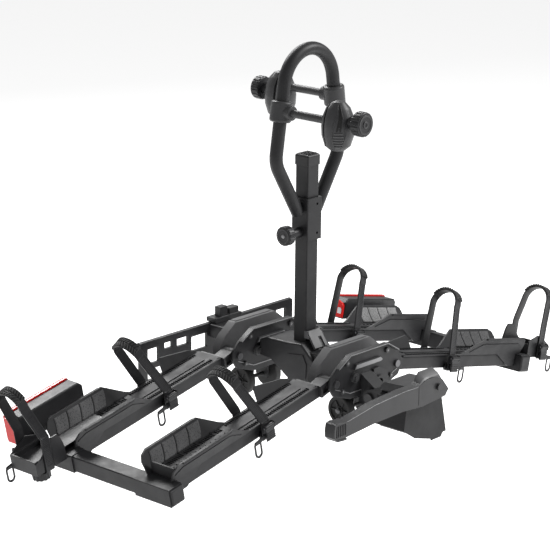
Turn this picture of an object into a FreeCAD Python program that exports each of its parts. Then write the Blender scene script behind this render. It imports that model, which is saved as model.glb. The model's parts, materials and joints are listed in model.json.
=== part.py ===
import FreeCAD, Part
import os, math
from FreeCAD import Vector as V

# Folding two-bicycle rack carried on a vehicle's tow ball.
# X runs along the wheel trays, Y runs to the rear (away from the vehicle), Z is up.
# The solids are drawn around the fold line level and are then shifted so that
# the origin is the centre of the 50 mm tow ball.

os.makedirs("parts", exist_ok=True)

# ---- driving dimensions (mm) -------------------------------------------------
BALL_Y, BALL_Z = -340.0, -100.0      # tow ball centre in the drawing frame
BALL_R = 25.0                        # 50 mm tow ball
TRAY_Y = 156.5                       # half the distance between the two trays
FOLD_X, FOLD_Z = 113.0, -28.0        # fold pins
LOC_X = 136.0                        # origin of each half's local frame
DROOP = 12.1                         # outward droop of both halves (degrees)
BEAM_HW, BEAM_T0, BEAM_T1 = 34.6, -54.0, -22.0
WALL = 2.0
S_IN, S_OUT = 24.0, 513.0            # beam from the fold to the cross tube
TUBE = 40.0                          # cross tube and mast section
MAST_Y = -14.0
STRAP_W, STRAP_T = 30.0, 3.5
S_MID, S_EXT = 222.0, 612.0          # strap stations at the beam
LEAN_S, LEAN_Y = 36.0, 27.0          # how far the crown leans outward and to the rear
T_MID = -58.0                        # foot of the buckle on the beam
EXT_END, KNOB_S = 650.0, 622.0       # outer end and lock knob of the extension
H_MID_L, H_MID_R, H_EXT = 122.0, 136.0, 152.0
HOOP_R = 16.0
GAP = 0.3
PIN_R = 6.0
RUN = 0.05

OUT = {}

def box(x0, x1, y0, y1, z0, z1):
    return Part.makeBox(x1 - x0, y1 - y0, z1 - z0, V(x0, y0, z0))

def cyl(p, d, r, h):
    return Part.makeCylinder(r, h, V(*p), V(*d))

def cyl_y(x, z, r, y0, y1):
    return cyl((x, y0, z), (0, 1, 0), r, y1 - y0)

def cyl_x(y, z, r, x0, x1):
    return cyl((x0, y, z), (1, 0, 0), r, x1 - x0)

def cyl_z(x, y, r, z0, z1):
    return cyl((x, y, z0), (0, 0, 1), r, z1 - z0)

def prism(pts, vec):
    w = Part.makePolygon([V(*p) for p in pts] + [V(*pts[0])])
    return Part.Face(w).extrude(V(*vec))

def pxz(pts, y0, y1):
    return prism([(a, y0, b) for a, b in pts], (0, y1 - y0, 0))

def pyz(pts, x0, x1):
    return prism([(x0, a, b) for a, b in pts], (x1 - x0, 0, 0))

def pxy(pts, z0, z1):
    return prism([(a, b, z0) for a, b in pts], (0, 0, z1 - z0))

def fuse(a, *more):
    for m in more:
        a = a.fuse(m)
    return a.removeSplitter()

def cut(a, *more):
    for m in more:
        a = a.cut(m)
    return a

def fil(s, r, pick):
    es = [e for e in s.Edges if pick(e)]
    for k in (1.0, 0.6, 0.3):
        try:
            t = s.makeFillet(r * k, es)
            if t.isValid() and t.Volume > 0:
                return t
        except Exception:
            pass
    return s

def cham(s, r, pick):
    es = [e for e in s.Edges if pick(e)]
    try:
        t = s.makeChamfer(r, es)
        if t.isValid():
            return t
    except Exception:
        pass
    return s

def along(axis):
    def f(e):
        if len(e.Vertexes) != 2:
            return False
        a, b = e.Vertexes[0].Point, e.Vertexes[1].Point
        d = b - a
        if d.Length < 1e-6:
            return False
        d.normalize()
        return abs(getattr(d, axis)) > 0.999
    return f

def compound(*s):
    return s[0] if len(s) == 1 else Part.makeCompound(list(s))

def put(name, *shapes):
    c = compound(*shapes).copy()
    c.translate(V(0, -BALL_Y, -BALL_Z))
    OUT[name] = c

# local frame of a half (s outward, y, t up) -> drawing frame
def loc(shape, side):
    sh = shape.copy()
    sh.rotate(V(0, 0, 0), V(0, 1, 0), DROOP)
    sh.translate(V(LOC_X, 0, 0))
    if side == "l":
        sh = sh.mirror(V(0, 0, 0), V(1, 0, 0))
    return sh

D = math.radians(DROOP)
def to_local(x, z):
    dx = x - LOC_X
    return dx * math.cos(D) - z * math.sin(D), dx * math.sin(D) + z * math.cos(D)
PIV_S, PIV_T = to_local(FOLD_X, FOLD_Z)

# ---- wheel tray: floor, flared side walls with a dip at the strap, end wing ---
WALL_END = [(268, -18), (284, -10), (338, 25), (505, 25), (519, 19), (527, 6), (527, -24)]
WALL_REAR = [(30, -24), (30, -20), (44, -12), (62, -4), (144, 13), (151, 8), (156, -18)] + WALL_END
WALL_FRONT = [(30, -24), (30, -20), (44, -18)] + WALL_END

def tray(open_end):
    floor = box(30, 513, -36, 36, -22, -18)
    sec = lambda k: [(34 * k, -22), (38.5 * k, -22), (62.5 * k, 30), (58 * k, 30)]
    t = floor
    for k in (1, -1):
        prof = pxz(WALL_REAR if k > 0 else WALL_FRONT, -80, 80)
        w = pyz([(a, b) for a, b in sec(k)], 30, 527).common(prof)
        t = t.fuse(w)
        # rolled rim along the high part of the wall
        rim = pyz([(56.5 * k, 20), (62.5 * k, 20), (62.5 * k, 25), (55.5 * k, 25)], 345, 503)
        t = t.fuse(rim)
    # raised strip with grip dots along the floor
    t = t.fuse(box(60, 500, -13, 13, -18, -16))
    for i in range(13):
        t = t.fuse(cyl_z(290 + i * 16, 0, 4, -16, -14))
    # cross ribs inside the trough
    for s in (320, 372, 424, 476):
        t = t.fuse(box(s, s + 4, -36, 36, -18, -16.5))
    # end skirt over the beam end
    sk = [(430, -22), (483, -54), (511, -54), (511, -22)]
    for k in (1, -1):
        y0, y1 = (34.6, 38.5) if k > 0 else (-38.5, -34.6)
        t = t.fuse(pxz(sk, y0, y1))
    if not open_end:
        t = t.fuse(box(509, 513, -36, 36, -22, 6))
    return t.removeSplitter()

def beam():
    o = box(S_IN, S_OUT, -BEAM_HW, BEAM_HW, BEAM_T0, BEAM_T1)
    o = fil(o, 3.0, along("x"))
    i = box(S_IN - 1, S_OUT + 1, -BEAM_HW + WALL, BEAM_HW - WALL, BEAM_T0 + WALL, BEAM_T1 - WALL)
    return cut(o, i)

def knuckle(flip):
    # casting that fills the beam's inner end and carries the fold eye
    y0, y1 = -44, -9
    eye = cyl_y(PIV_S, PIV_T, 17, y0, y1)
    arm = pxz([(PIV_S - 2, PIV_T + 16), (PIV_S + 10, PIV_T + 14), (24, -22), (24, -52), (PIV_S, PIV_T - 16.5)], y0, y1)
    plug = box(24, 70, -31.8, 31.8, -51.2, -24.8)
    face = box(20, 24, -34, 34, -52, -22)
    k = fuse(eye, arm, face, plug)
    # weight saving pockets on both cheeks
    for a, b in ((y0 - 1, y0 + 6),):
        k = cut(k, pxz([(PIV_S + 19, PIV_T + 4), (18, -26), (18, -46), (PIV_S + 16, -42)], a, b))
    k = cut(k, cyl_y(PIV_S, PIV_T, PIN_R + RUN, y0 - 2, y1 + 2))
    return k

def saddle():
    o = box(513, 556, -56, 56, -66.5, -22.05)
    o = fil(o, 2.0, along("y"))
    return cut(o, box(512, 553, -57, 57, -64, -24))

def cross_tube():
    o = box(513, 553, -211, 211, -64, -24)
    o = fil(o, 3.0, along("y"))
    return cut(o, box(513 + WALL, 553 - WALL, -212, 212, -64 + WALL, -24 - WALL))

def end_cap(sgn):
    c = box(513.5, 552.5, 0, 7, -63.5, -24.5)
    c = fil(c, 5.0, lambda e: abs(e.CenterOfMass.y - 7) < 0.01)
    c = fuse(c, box(516.2, 549.8, -14, 0, -60.8, -27.2))
    if sgn < 0:
        c = c.mirror(V(0, 0, 0), V(0, 1, 0))
    c.translate(V(0, 211 * sgn, 0))
    return c

def at_y(shape, y):
    s = shape.copy()
    s.translate(V(0, y, 0))
    return s

# ---- strap: two legs and a rounded crown, with a ridged wheel pad, its buckle
# base on one side and a free tail that ends in an oval pull ring ---------------
LEG = 47.0
CROWN = 40.0
def strap(h, t_low, near=-1, sh=LEAN_Y, tk=-16.0, lean=LEAN_S):
    r, lb = CROWN, LEG
    dt = h - r - tk
    ang = math.degrees(math.atan2(lean, dt))
    c = math.hypot(lean, dt)
    def band(d):
        ro, l = r - d, lb - d
        return [(l, -7.0), (l, 0.0), (ro + sh, c), (sh, c + ro), (-ro + sh, c), (-l, 0.0), (-l, -7.0)]
    def edges(p):
        q = [V(0, a, b) for a, b in p]
        return [Part.makeLine(q[0], q[1]), Part.makeLine(q[1], q[2]), Part.Arc(q[2], q[3], q[4]).toShape(), Part.makeLine(q[4], q[5]), Part.makeLine(q[5], q[6])]
    po, pi_ = band(0.0), band(STRAP_T)
    es = edges(po) + [Part.makeLine(V(0, po[6][0], po[6][1]), V(0, pi_[6][0], pi_[6][1]))] + edges(pi_)[::-1] + [Part.makeLine(V(0, pi_[0][0], pi_[0][1]), V(0, po[0][0], po[0][1]))]
    b = Part.Face(Part.Wire(Part.__sortEdges__(es))).extrude(V(STRAP_W, 0, 0))
    b.translate(V(-STRAP_W / 2, 0, 0))
    # pad over the crown with cross ridges
    ring = cut(cyl((-17, 0, c), (1, 0, 0), r + 2.5, 34), cyl((-20, 0, c), (1, 0, 0), r - 0.01, 40))
    pad = ring.common(Part.makeBox(44, 200, 200, V(-22, -100, c + 10)))
    for k in range(-4, 5):
        rb = Part.makeBox(34, 4, 3.0, V(-17, -2, r + 1.5))
        rb.rotate(V(0, 0, 0), V(1, 0, 0), k * 14.0)
        rb.translate(V(0, 0, c))
        pad = pad.fuse(rb)
    pad.translate(V(0, sh, 0))
    s = fuse(b, pad)
    s.rotate(V(0, 0, 0), V(0, 1, 0), ang)
    s.translate(V(0, 0, tk))
    w = STRAP_W / 2
    s = fuse(s, box(-w, w, lb - STRAP_T, lb, t_low, tk), box(-w, w, -lb, -lb + STRAP_T, t_low, tk))
    if near > 0:
        s = s.mirror(V(0, 0, 0), V(0, 1, 0))
    return s

def buckle_base(near=-1, t0=-50.0):
    # cheeks on the outside of the strap leg, with the lever's pivot pin
    y = 47.0
    b = box(-17, 17, -y - 3.0, -y, t0, t0 + 40)
    for k in (-1, 1):
        b = b.fuse(box(14 if k > 0 else -17, 17 if k > 0 else -14, -y - 14, -y - 2.9, t0 + 18, t0 + 40))
    b = b.fuse(cyl_x(-y - 9.5, t0 + 33, 2.5, -17, 17))
    # foot that bolts the leg to the beam
    b = b.fuse(box(-15, 15, -43.5, -BEAM_HW, t0, t0 + 16))
    b = b.removeSplitter()
    if near > 0:
        b = b.mirror(V(0, 0, 0), V(0, 1, 0))
    return b

def leg_foot(far=1, t0=-50.0):
    f = box(-14, 14, BEAM_HW, 43.5, t0, t0 + 18).fuse(box(-14, 14, 47.0, 49.5, t0, t0 + 18)).removeSplitter()
    if far < 0:
        f = f.mirror(V(0, 0, 0), V(0, 1, 0))
    return f

def tail(near=-1, t0=-46.0, s0=40.0):
    # free end of the strap with its oval pull ring
    y = 50.5
    strip = pxz([(-12, t0 + 2), (4, t0 + 6), (s0 + 10, t0 - 2), (s0 + 8, t0 - 12), (s0 - 10, t0 - 12)], -y - 3, -y)
    ringo = fuse(box(-12 + s0, 12 + s0, -y - 3, -y, t0 - 32, t0 - 8), cyl((s0, -y - 3, t0 - 32), (0, 1, 0), 12, 3), cyl((s0, -y - 3, t0 - 12), (0, 1, 0), 12, 3))
    ringi = fuse(box(-7.5 + s0, 7.5 + s0, -y - 4, -y + 1, t0 - 31, t0 - 14), cyl((s0, -y - 4, t0 - 31), (0, 1, 0), 7.5, 5), cyl((s0, -y - 4, t0 - 14), (0, 1, 0), 7.5, 5))
    t = fuse(strip, cut(ringo, ringi))
    if near > 0:
        t = t.mirror(V(0, 0, 0), V(0, 1, 0))
    return t

def buckle_lever(near=-1, t0=-50.0):
    y = 47.0
    pl = box(-13.4, 13.4, -y - 12.5, -y - 8.0, t0 - 2, t0 + 30)
    pl = fil(pl, 2.0, along("x"))
    eye = cyl_x(-y - 9.5, t0 + 33, 5.0, -13.4, 13.4)
    l = fuse(pl, eye)
    for k in range(4):
        l = l.fuse(box(-13.4, 13.4, -y - 14, -y - 12.4, t0 + 1 + k * 5, t0 + 3.4 + k * 5))
    l = cut(l.removeSplitter(), cyl_x(-y - 9.5, t0 + 33, 2.5 + RUN, -18, 18))
    if near > 0:
        l = l.mirror(V(0, 0, 0), V(0, 1, 0))
    return l

# ---- lamps --------------------------------------------------------------------
LAMP_L = (372.0, 586.0, 52.0)         # inner end, outer end, top
LAMP_R = (318.0, 542.0, 38.0)
def lamp_housing(side):
    a, b, h = LAMP_L if side == "l" else LAMP_R
    pts = [(a, -18), (a, h - 12), (a + 12, h), (b - 14, h), (b - 6, h - 8), (b - 6, -18)]
    o = pxz(pts, 238, 276)
    o = fil(o, 4.0, lambda e: abs(e.CenterOfMass.y - 238) < 0.1)
    ip = [(a + 3, -15), (a + 3, h - 14), (a + 13, h - 3), (b - 16, h - 3), (b - 10, h - 10), (b - 10, -15)]
    o = cut(o, pxz(ip, 242, 277))
    # bracket to the cross tube end
    arm = box(520, 532, 218.2, 240, -60, -10)
    o = fuse(o, arm)
    return o

def lamp_lens(side):
    a, b, h = LAMP_L if side == "l" else LAMP_R
    pts = [(a + 2, -15), (a + 2, h - 14), (a + 13, h - 3), (b - 15, h - 3), (b - 8, h - 10), (b - 8, -15)]
    o = pxz(pts, 276, 290)
    o = fil(o, 4.0, lambda e: abs(e.CenterOfMass.y - 290) < 0.1)
    if side == "l":
        e = box(b - 6, b + 4, 240, 276, -14, h - 10)
    else:
        e = box(a - 8, a, 240, 276, -14, h - 13)
    e = fil(e, 3.0, along("y"))
    return o, e

# ---- extension: slides outward over the cross tube ----------------------------
def extension(near):
    # near = side of the buckle: -1 towards -Y, +1 towards +Y
    rails = box(400, 560, -26, 26, -13.6, -9.6)
    body = box(558.5, EXT_END, -40, 40, -32, 4)
    body = cut(body, box(562, EXT_END - 4, -34, 34, -9.6, 10))
    body = cut(body, box(566, EXT_END - 8, -36, 36, -33, -13.6))
    wall_n = pxz([(558.5, -30), (558.5, 12), (598, 27), (626, 16), (EXT_END, 2), (EXT_END, -30)], 40, 44)
    wall_f = pxz([(558.5, -30), (558.5, 6), (566, 30), (574, 42), (592, 42), (606, 30), (630, 6), (EXT_END, 0), (EXT_END, -30)], 40, 44)
    wall_n = wall_n.mirror(V(0, 0, 0), V(0, 1, 0))
    o = fuse(rails, body, wall_n, wall_f)
    # the strap passes through slots in the floor flange
    for k in (1, -1):
        o = cut(o, box(S_EXT - 15.3, S_EXT + 15.3, 43.2 if k > 0 else -47.8, 47.8 if k > 0 else -43.2, -40, 60))
    o = cut(o, cyl((KNOB_S, 22, -34), (0, 0, 1), 6 + RUN, 20))
    if near > 0:
        o = o.mirror(V(0, 0, 0), V(0, 1, 0))
    return o

def ext_knob(near):
    k = cyl((KNOB_S, 22, -52), (0, 0, 1), 22, 18)
    for i in range(12):
        a = 2 * math.pi * i / 12
        k = cut(k, cyl((KNOB_S + 24 * math.cos(a), 22 + 24 * math.sin(a), -53), (0, 0, 1), 4.2, 21))
    st = cyl((KNOB_S, 22, -34), (0, 0, 1), 6, 19)
    k = fuse(k, cyl((KNOB_S, 22, -34.2), (0, 0, 1), 9, 1.9), st)
    if near > 0:
        k = k.mirror(V(0, 0, 0), V(0, 1, 0))
    return k

# ================= platforms ===================================================
for side, hm in (("l", H_MID_L), ("r", H_MID_R)):
    b = beam()
    put("beams_" + side, loc(at_y(b, -TRAY_Y), side), loc(at_y(b, TRAY_Y), side))
    put("tray_%sf" % side, loc(at_y(tray(side == "r"), -TRAY_Y), side))
    put("tray_%sr" % side, loc(at_y(tray(side == "l"), TRAY_Y), side))
    kn = knuckle(False)
    put("knuckles_" + side, loc(at_y(kn, -TRAY_Y), side), loc(at_y(kn, TRAY_Y), side))
    sd = saddle()
    put("cross_tube_" + side, loc(cross_tube(), side), loc(at_y(sd, -TRAY_Y), side), loc(at_y(sd, TRAY_Y), side), loc(end_cap(-1), side), loc(end_cap(1), side))
    st = strap(hm, -56.0)
    bb = buckle_base(-1, T_MID)
    lf = leg_foot()
    tl = tail()
    sol = []
    for y in (-TRAY_Y, TRAY_Y):
        for q in (st, bb, lf, tl):
            w = q.copy(); w.translate(V(S_MID, y, 0)); sol.append(loc(w, side))
    put("straps_" + side, *sol)
    for tag, y in (("f", -TRAY_Y), ("r", TRAY_Y)):
        w = buckle_lever(-1, T_MID); w.translate(V(S_MID, y, 0))
        put("buckle_lever_%s%s" % (side, tag), loc(w, side))
    put("lamp_housing_" + side, loc(lamp_housing(side), side))
    a, e = lamp_lens(side)
    put("lamp_lens_" + side, loc(a, side), loc(e, side))
    # extension: rear tray on the left, front tray on the right
    near, y = (1, TRAY_Y) if side == "l" else (-1, -TRAY_Y)
    put("extension_" + side, loc(at_y(extension(near), y), side))
    put("extension_knob_" + side, loc(at_y(ext_knob(near), y), side))
    es = []
    for q in (strap(H_EXT + (13.0 if side == "l" else 0.0), -32.0, near, -26.0 if side == "l" else 0.0, 52.0, 14.0), tail(near, -26.0)):
        w = q.copy(); w.translate(V(S_EXT, y, 0)); es.append(loc(w, side))
    yy = 47.0
    bs = box(-17, 17, -yy - 3.0, -yy, -34, 6)
    for k in (-1, 1):
        bs = bs.fuse(box(14 if k > 0 else -17, 17 if k > 0 else -14, -yy - 14, -yy - 2.9, -16, 6))
    bs = bs.fuse(cyl_x(-yy - 9.5, -1, 2.5, -17, 17)).removeSplitter()
    if near > 0:
        bs = bs.mirror(V(0, 0, 0), V(0, 1, 0))
    bs.translate(V(S_EXT, y, 0)); es.append(loc(bs, side))
    put("strap_ext_" + side, *es)
    w = buckle_lever(near, -34.0); w.translate(V(S_EXT, y, 0))
    put("buckle_lever_ext_" + side, loc(w, side))

# ================= chassis =====================================================
spine = box(-36, 36, -206, 276, -34, 0)
spine = fil(spine, 4.0, along("y"))
spine = cut(spine, box(-32, 32, -200, 277, -30, -4))
# tilt lug at the front, between the coupling's arms
TILT_Y, TILT_Z = -252.0, -72.0
lug = fuse(pyz([(-TRAY_Y - 49.5, -20), (-TRAY_Y - 49.5, -96), (TILT_Y + 2, TILT_Z - 20), (TILT_Y - 6, TILT_Z + 19)], -20, 20),
           cyl_x(TILT_Y, TILT_Z, 20, -20, 20))
lug = cut(lug, cyl_x(TILT_Y, TILT_Z, 8 + RUN, -21, 21))
front_web = box(-36, 36, -206, -150, -84, -34)
front_web = cut(front_web, box(-31, 31, -201, -149, -80, -36))

def arch_plate(yc):
    pts = [(-70, 35), (70, 35), (112, 10), (132, -10), (136, -34), (120, -58), (60, -78), (-60, -78), (-120, -58), (-136, -34), (-132, -10), (-112, 10)]
    p = pxz(pts, yc - 3, yc + 3)
    # rolled top edge, a strip that stands towards the front
    top = [(-70, 35), (70, 35), (112, 10), (110, 7), (69, 31), (-69, 31), (-110, 7), (-112, 10)]
    p = p.fuse(pxz(top, yc - 12, yc - 2.9)).removeSplitter()
    for x in (-FOLD_X, FOLD_X):
        p = cut(p, cyl_y(x, FOLD_Z, PIN_R, yc - 20, yc + 20))
    return p

def hinge_cover(y0):
    out = [(-72, 38), (72, 38), (110, 10), (127, -14), (129, -36), (118, -44), (-118, -44), (-129, -36), (-127, -14), (-110, 10)]
    inn = [(-70, 34), (70, 34), (107, 8), (123, -15), (125, -60), (-125, -60), (-123, -15), (-107, 8)]
    c = pxz(out, y0 - 5, y0 + 20)
    c = cut(c, pxz(inn, y0 - 2, y0 + 17))
    # raised band along the top
    c = c.fuse(pxz([(-66, 38), (66, 38), (64, 40.5), (-64, 40.5)], y0 + 2, y0 + 18)).removeSplitter()
    for x in (-FOLD_X, FOLD_X):
        c = cut(c, cyl_y(x, FOLD_Z, PIN_R, y0 - 30, y0 + 40))
    return c

spine_env = box(-36, 36, -206, 276, -34, 0)
web_env = box(-36, 36, -206, -150, -84, -34)
for tag, y0 in (("f", -TRAY_Y), ("r", TRAY_Y)):
    ap = arch_plate(y0 - 52.5)
    ap = cut(ap, spine_env) if tag == "r" else cut(ap, lug)
    put("arch_plate_" + tag, ap)
    put("hinge_cover_" + tag, cut(hinge_cover(y0), spine_env, web_env, box(-31, 31, y0 - 40, y0 + 40, -60, -33.9) if tag == "r" else box(0, 1, 900, 901, 0, 1)))

# stiffener bars, bosses and bolts on the arch plates
bars, bolts = [], []
for y0 in (-TRAY_Y, TRAY_Y):
    yf = y0 - 55.5
    b = pxz([(-52, -6), (-44, 6), (46, 6), (54, -2), (46, -6)], yf - 6, yf)
    bars.append(b)
    for x, z, r in ((-74, 15, 7), (74, 15, 7), (-90, -52, 6), (90, -52, 6)):
        h = cyl_y(x, z, r, yf - 5, yf)
        h = cut(h, cyl_y(x, z, r * 0.45, yf - 6, yf - 3))
        bolts.append(h)
    bs = fuse(cyl_y(-48, -26, 12, yf - 8, yf), cyl_y(-48, -26, 6, yf - 12, yf - 7.9))
    bolts.append(bs)
HARDWARE = bars + bolts

pins = []
for y0 in (-TRAY_Y, TRAY_Y):
    for x in (-FOLD_X, FOLD_X):
        p = fuse(cyl_y(x, FOLD_Z, PIN_R, y0 - 56, y0 + 23), cyl_y(x, FOLD_Z, 9, y0 - 61, y0 - 55.5), cyl_y(x, FOLD_Z, 8.5, y0 + 20, y0 + 24))
        pins.append(p)

# front bracket plate with a bossed hole, bolted to the front of the lug
fb = pxz([(20.5, -20), (40, -18), (72, -34), (78, -66), (60, -92), (20.5, -96)], -TRAY_Y - 61.5, -TRAY_Y - 55.5)
fb = fuse(fb, cyl_y(42, -56, 17, -TRAY_Y - 65.5, -TRAY_Y - 61.4))
fb = cut(fb, cyl_y(42, -56, 9, -TRAY_Y - 70, -TRAY_Y - 50))

# mast foot casting
foot_pts = [(-86, -95), (0, -95), (2, -76), (58, -40), (96, -36), (96, 2), (70, 12), (0, 14), (-40, 18), (-74, -12), (-86, -30)]
foot = pyz(foot_pts, -45, 45)
foot = fil(foot, 5.0, lambda e: abs(abs(e.CenterOfMass.x) - 45) < 0.01 and e.CenterOfMass.z > -20)
foot = cut(foot, spine_env, box(-20, 20, MAST_Y - 20, MAST_Y + 20, 0, 40))
# cored from below on both sides of the spine
foot = cut(foot, box(-32, 32, -66, -2, -96, -40))
panel = pyz([(-58, -66), (-2, -70), (-2, -14), (-48, -8), (-60, -30)], -47, -45)
panel2 = pyz([(-58, -66), (-2, -70), (-2, -14), (-48, -8), (-60, -30)], 45, 47)
foot = fuse(foot, panel, panel2)
foot_s = foot.Solids
put("mast_foot", *foot_s)
hw = []
for h in HARDWARE:
    hw += cut(h, spine_env, foot).Solids
put("arch_hardware", *hw)

mast = box(-20, 20, MAST_Y - 20, MAST_Y + 20, 0, 470)
mast = fil(mast, 3.0, along("z"))
mast = cut(mast, box(-17.5, 17.5, MAST_Y - 17.5, MAST_Y + 17.5, -1, 471))
put("mast_tube", mast)
cap = box(-22, 22, MAST_Y - 22, MAST_Y + 22, 455, 482)
cap = fil(cap, 6.0, lambda e: abs(e.CenterOfMass.z - 482) < 0.01)
cap = fil(cap, 3.0, along("z"))
cap = cut(cap, box(-20.0, 20.0, MAST_Y - 20.0, MAST_Y + 20.0, 454, 470))
put("mast_cap", cap)

# wheel brackets hang from the spine
def wheel_bracket(y, z, ztop):
    o = []
    for x0 in (-30, 26):
        o.append(pyz([(y - 16, z - 9), (y + 16, z - 9), (y + 24, ztop), (y - 24, ztop)], x0, x0 + 4))
    b = fuse(o[0], o[1], box(-26.1, 26.1, y - 20, y + 20, ztop - 5, ztop))
    return b
WF = (-176.0, -116.0)
WR = (149.0, -116.0)
wbf = wheel_bracket(WF[0], WF[1], -84)
wbr = wheel_bracket(WR[0], WR[1], -34)
wbf = cut(wbf, cyl_x(WF[0], WF[1], 5 + RUN, -60, 60))
wbr = cut(wbr, cyl_x(WR[0], WR[1], 5 + RUN, -60, 60))
def wheelset(c):
    y, z = c
    s = []
    for k in (-1, 1):
        x0 = 37 if k > 0 else -58
        w = cyl_x(y, z, 36, x0, x0 + 21)
        w = fil(w, 4.0, lambda e: abs(e.Length - 2 * math.pi * 36) < 0.5)
        w = cut(w, cut(cyl_x(y, z, 27, (54 if k > 0 else -59), (59 if k > 0 else -54)), cyl_x(y, z, 11, -60, 60)))
        s.append(w)
    s.append(cyl_x(y, z, 5, -62, 62))
    w = s[0].fuse(s[1]).fuse(s[2]).removeSplitter()
    return w
put("wheels_f", wheelset(WF))
put("wheels_r", wheelset(WR))

spine_all = fuse(spine, front_web)
spine_all = cut(spine_all, box(-20, 20, MAST_Y - 20, MAST_Y + 20, -0.01, 5))
put("spine", spine_all)
lug = cut(lug, box(-21, 21, -206.0, -100, -100, 0))
put("chassis_brackets", lug, cut(fb, lug), wbf, wbr)

# number plate holder with windows, and its lamp
ph = box(-280, 280, 276, 284, -110, 2)
ph = fil(ph, 6.0, along("y"))
wins = [(-254, -216, -56, -18), (-196, -168, -30, -14), (-152, -112, -34, -14), (-100, -44, -58, -20), (44, 100, -58, -20), (112, 152, -34, -14), (168, 196, -30, -14), (216, 254, -56, -18),
        (-254, -180, -98, -70), (-160, -60, -98, -76), (60, 160, -98, -76), (180, 254, -98, -70)]
for a, b, c, d in wins:
    ph = cut(ph, box(a, b, 270, 290, c, d))
lip = fuse(box(-280, 280, 284, 288, -110, -104), box(-280, 280, 284, 288, -2, 2))
ph = fuse(ph, lip)
put("plate_holder", ph)
pl = fuse(box(-26, 70, 262, 276, -16, 14), box(-26, 70, 262, 296, 2.2, 14), box(-8, 18, 264, 284, 14, 40), box(28, 62, 266, 288, 14, 30))
pl = cut(pl, spine_env, ph)
put("plate_lamp", *pl.Solids)

# release handle: hooded plate on the front of the mast
hp = [(-35.0, 40), (-38, 45), (-42, 45), (-66, 8), (-62, 4), (-39, 38)]
handle = pyz([(-37.4, 35.2), (-35.0, 38.0), (-35.0, 42.0), (-37.4, 44.8), (-42, 45.2), (-68, 8), (-64, 3), (-42.4, 35.2)], -22, 24)
handle = cut(handle, box(4, 15, -80, -52, -10, 30))
RH_Y, RH_Z = -40.0, 40.0
handle = cut(handle, cyl_x(RH_Y, RH_Z, 3 + RUN, -30, 30))
put("release_handle", handle)
hpins = fuse(cyl_x(RH_Y, RH_Z, 3, -26, 28), box(-26, -22.4, -46, -34, 34, 46), box(24.4, 28, -46, -34, 34, 46))
hb = fuse(hpins, box(-26, -22.4, -50, -34, 28, 35), box(24.4, 28, -50, -34, 28, 35))
hb = cut(hb, mast, foot, box(-20, 20, MAST_Y - 20, MAST_Y + 20, 0, 100))
put("fold_pins", *(pins + hb.Solids))

# ================= hoop, sleeve, frame clamps ===================================
sl = box(-26, 26, MAST_Y - 26, MAST_Y + 26, 272, 376)
sl = fil(sl, 3.0, along("z"))
sl = cut(sl, box(-20.5, 20.5, MAST_Y - 20.5, MAST_Y + 20.5, 270, 380))
for z in (288, 360):
    sl = cut(sl, cyl_y(9, z, 3.2, MAST_Y - 30, MAST_Y - 20))
LEG_T = 0.1506                       # lean of the hoop's upper legs (run / rise)
LEG_A = math.atan(LEG_T)
LEG_X, LEG_Z = 115.0, 474.0
TOP_Z = 660.2
TOP_X = LEG_X - (TOP_Z - LEG_Z) * LEG_T
TOP_R = TOP_X / math.cos(LEG_A)

def corner(p, q, r, rad):
    # tangent points and middle of a round corner at q between p and r
    a = (p - q); a.normalize()
    b = (r - q); b.normalize()
    ang = math.acos(max(-1, min(1, a.dot(b))))
    t = rad / math.tan(ang / 2)
    m = a + b; m.normalize()
    c = q + m * (rad / math.sin(ang / 2))
    return q + a * t, c - m * rad, q + b * t

def hv(x, z):
    return V(x, MAST_Y, z)
A0, B0, C0 = hv(-33, 341), hv(-LEG_X, LEG_Z), hv(-TOP_X, TOP_Z)
t1, tm, t2 = corner(A0, B0, C0, 62.0)
apex = hv(0, TOP_Z - TOP_R * math.sin(LEG_A) + TOP_R)
mir = lambda v: V(-v.x, v.y, v.z)
edges = [Part.makeLine(A0, t1), Part.Arc(t1, tm, t2).toShape(), Part.makeLine(t2, C0),
         Part.Arc(C0, apex, mir(C0)).toShape(),
         Part.makeLine(mir(C0), mir(t2)), Part.Arc(mir(t2), mir(tm), mir(t1)).toShape(), Part.makeLine(mir(t1), mir(A0))]
d0 = t1 - A0; d0.normalize()
circ = Part.Wire([Part.makeCircle(HOOP_R, A0, d0)])
hoop = Part.Wire(edges).makePipeShell([circ], True, True)
hoop = hoop if hoop.Solids else Part.makeSolid(hoop)
# the hoop is a 32 mm tube with a 2.5 mm wall
bore = Part.Wire(edges).makePipeShell([Part.Wire([Part.makeCircle(HOOP_R - 2.5, A0, d0)])], True, True)
bore = bore if bore.Solids else Part.makeSolid(bore)
hoop = cut(hoop, bore)
sleeve_env = box(-26, 26, MAST_Y - 26, MAST_Y + 26, 200, 376)
hoop = cut(hoop, sleeve_env)
put("hoop", *hoop.Solids)
put("sleeve", cut(sl, cyl_x(MAST_Y, 291, 4, -30, -18)))
# sleeve knob: lobed disc on a threaded stem
kn = cyl_x(MAST_Y, 291, 24, -84, -64)
kn = fil(kn, 3.0, lambda e: abs(e.Length - 2 * math.pi * 24) < 0.5)
for i in range(14):
    a = 2 * math.pi * i / 14
    kn = cut(kn, cyl_x(MAST_Y + 25.5 * math.cos(a), 291 + 25.5 * math.sin(a), 3.0, -90, -60))
kn = fuse(kn, cyl_x(MAST_Y, 291, 13, -64, -26.4), cyl_x(MAST_Y, 291, 3.95, -30, -21.0))
put("sleeve_knob", kn)

def hoop_at(z, sgn):
    # point and direction of the hoop's centre line at a height on a straight leg
    q = hv(sgn * (LEG_X - (z - LEG_Z) * LEG_T), z)
    d = V(-sgn * math.sin(LEG_A), 0, math.cos(LEG_A))
    return q, d

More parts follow.
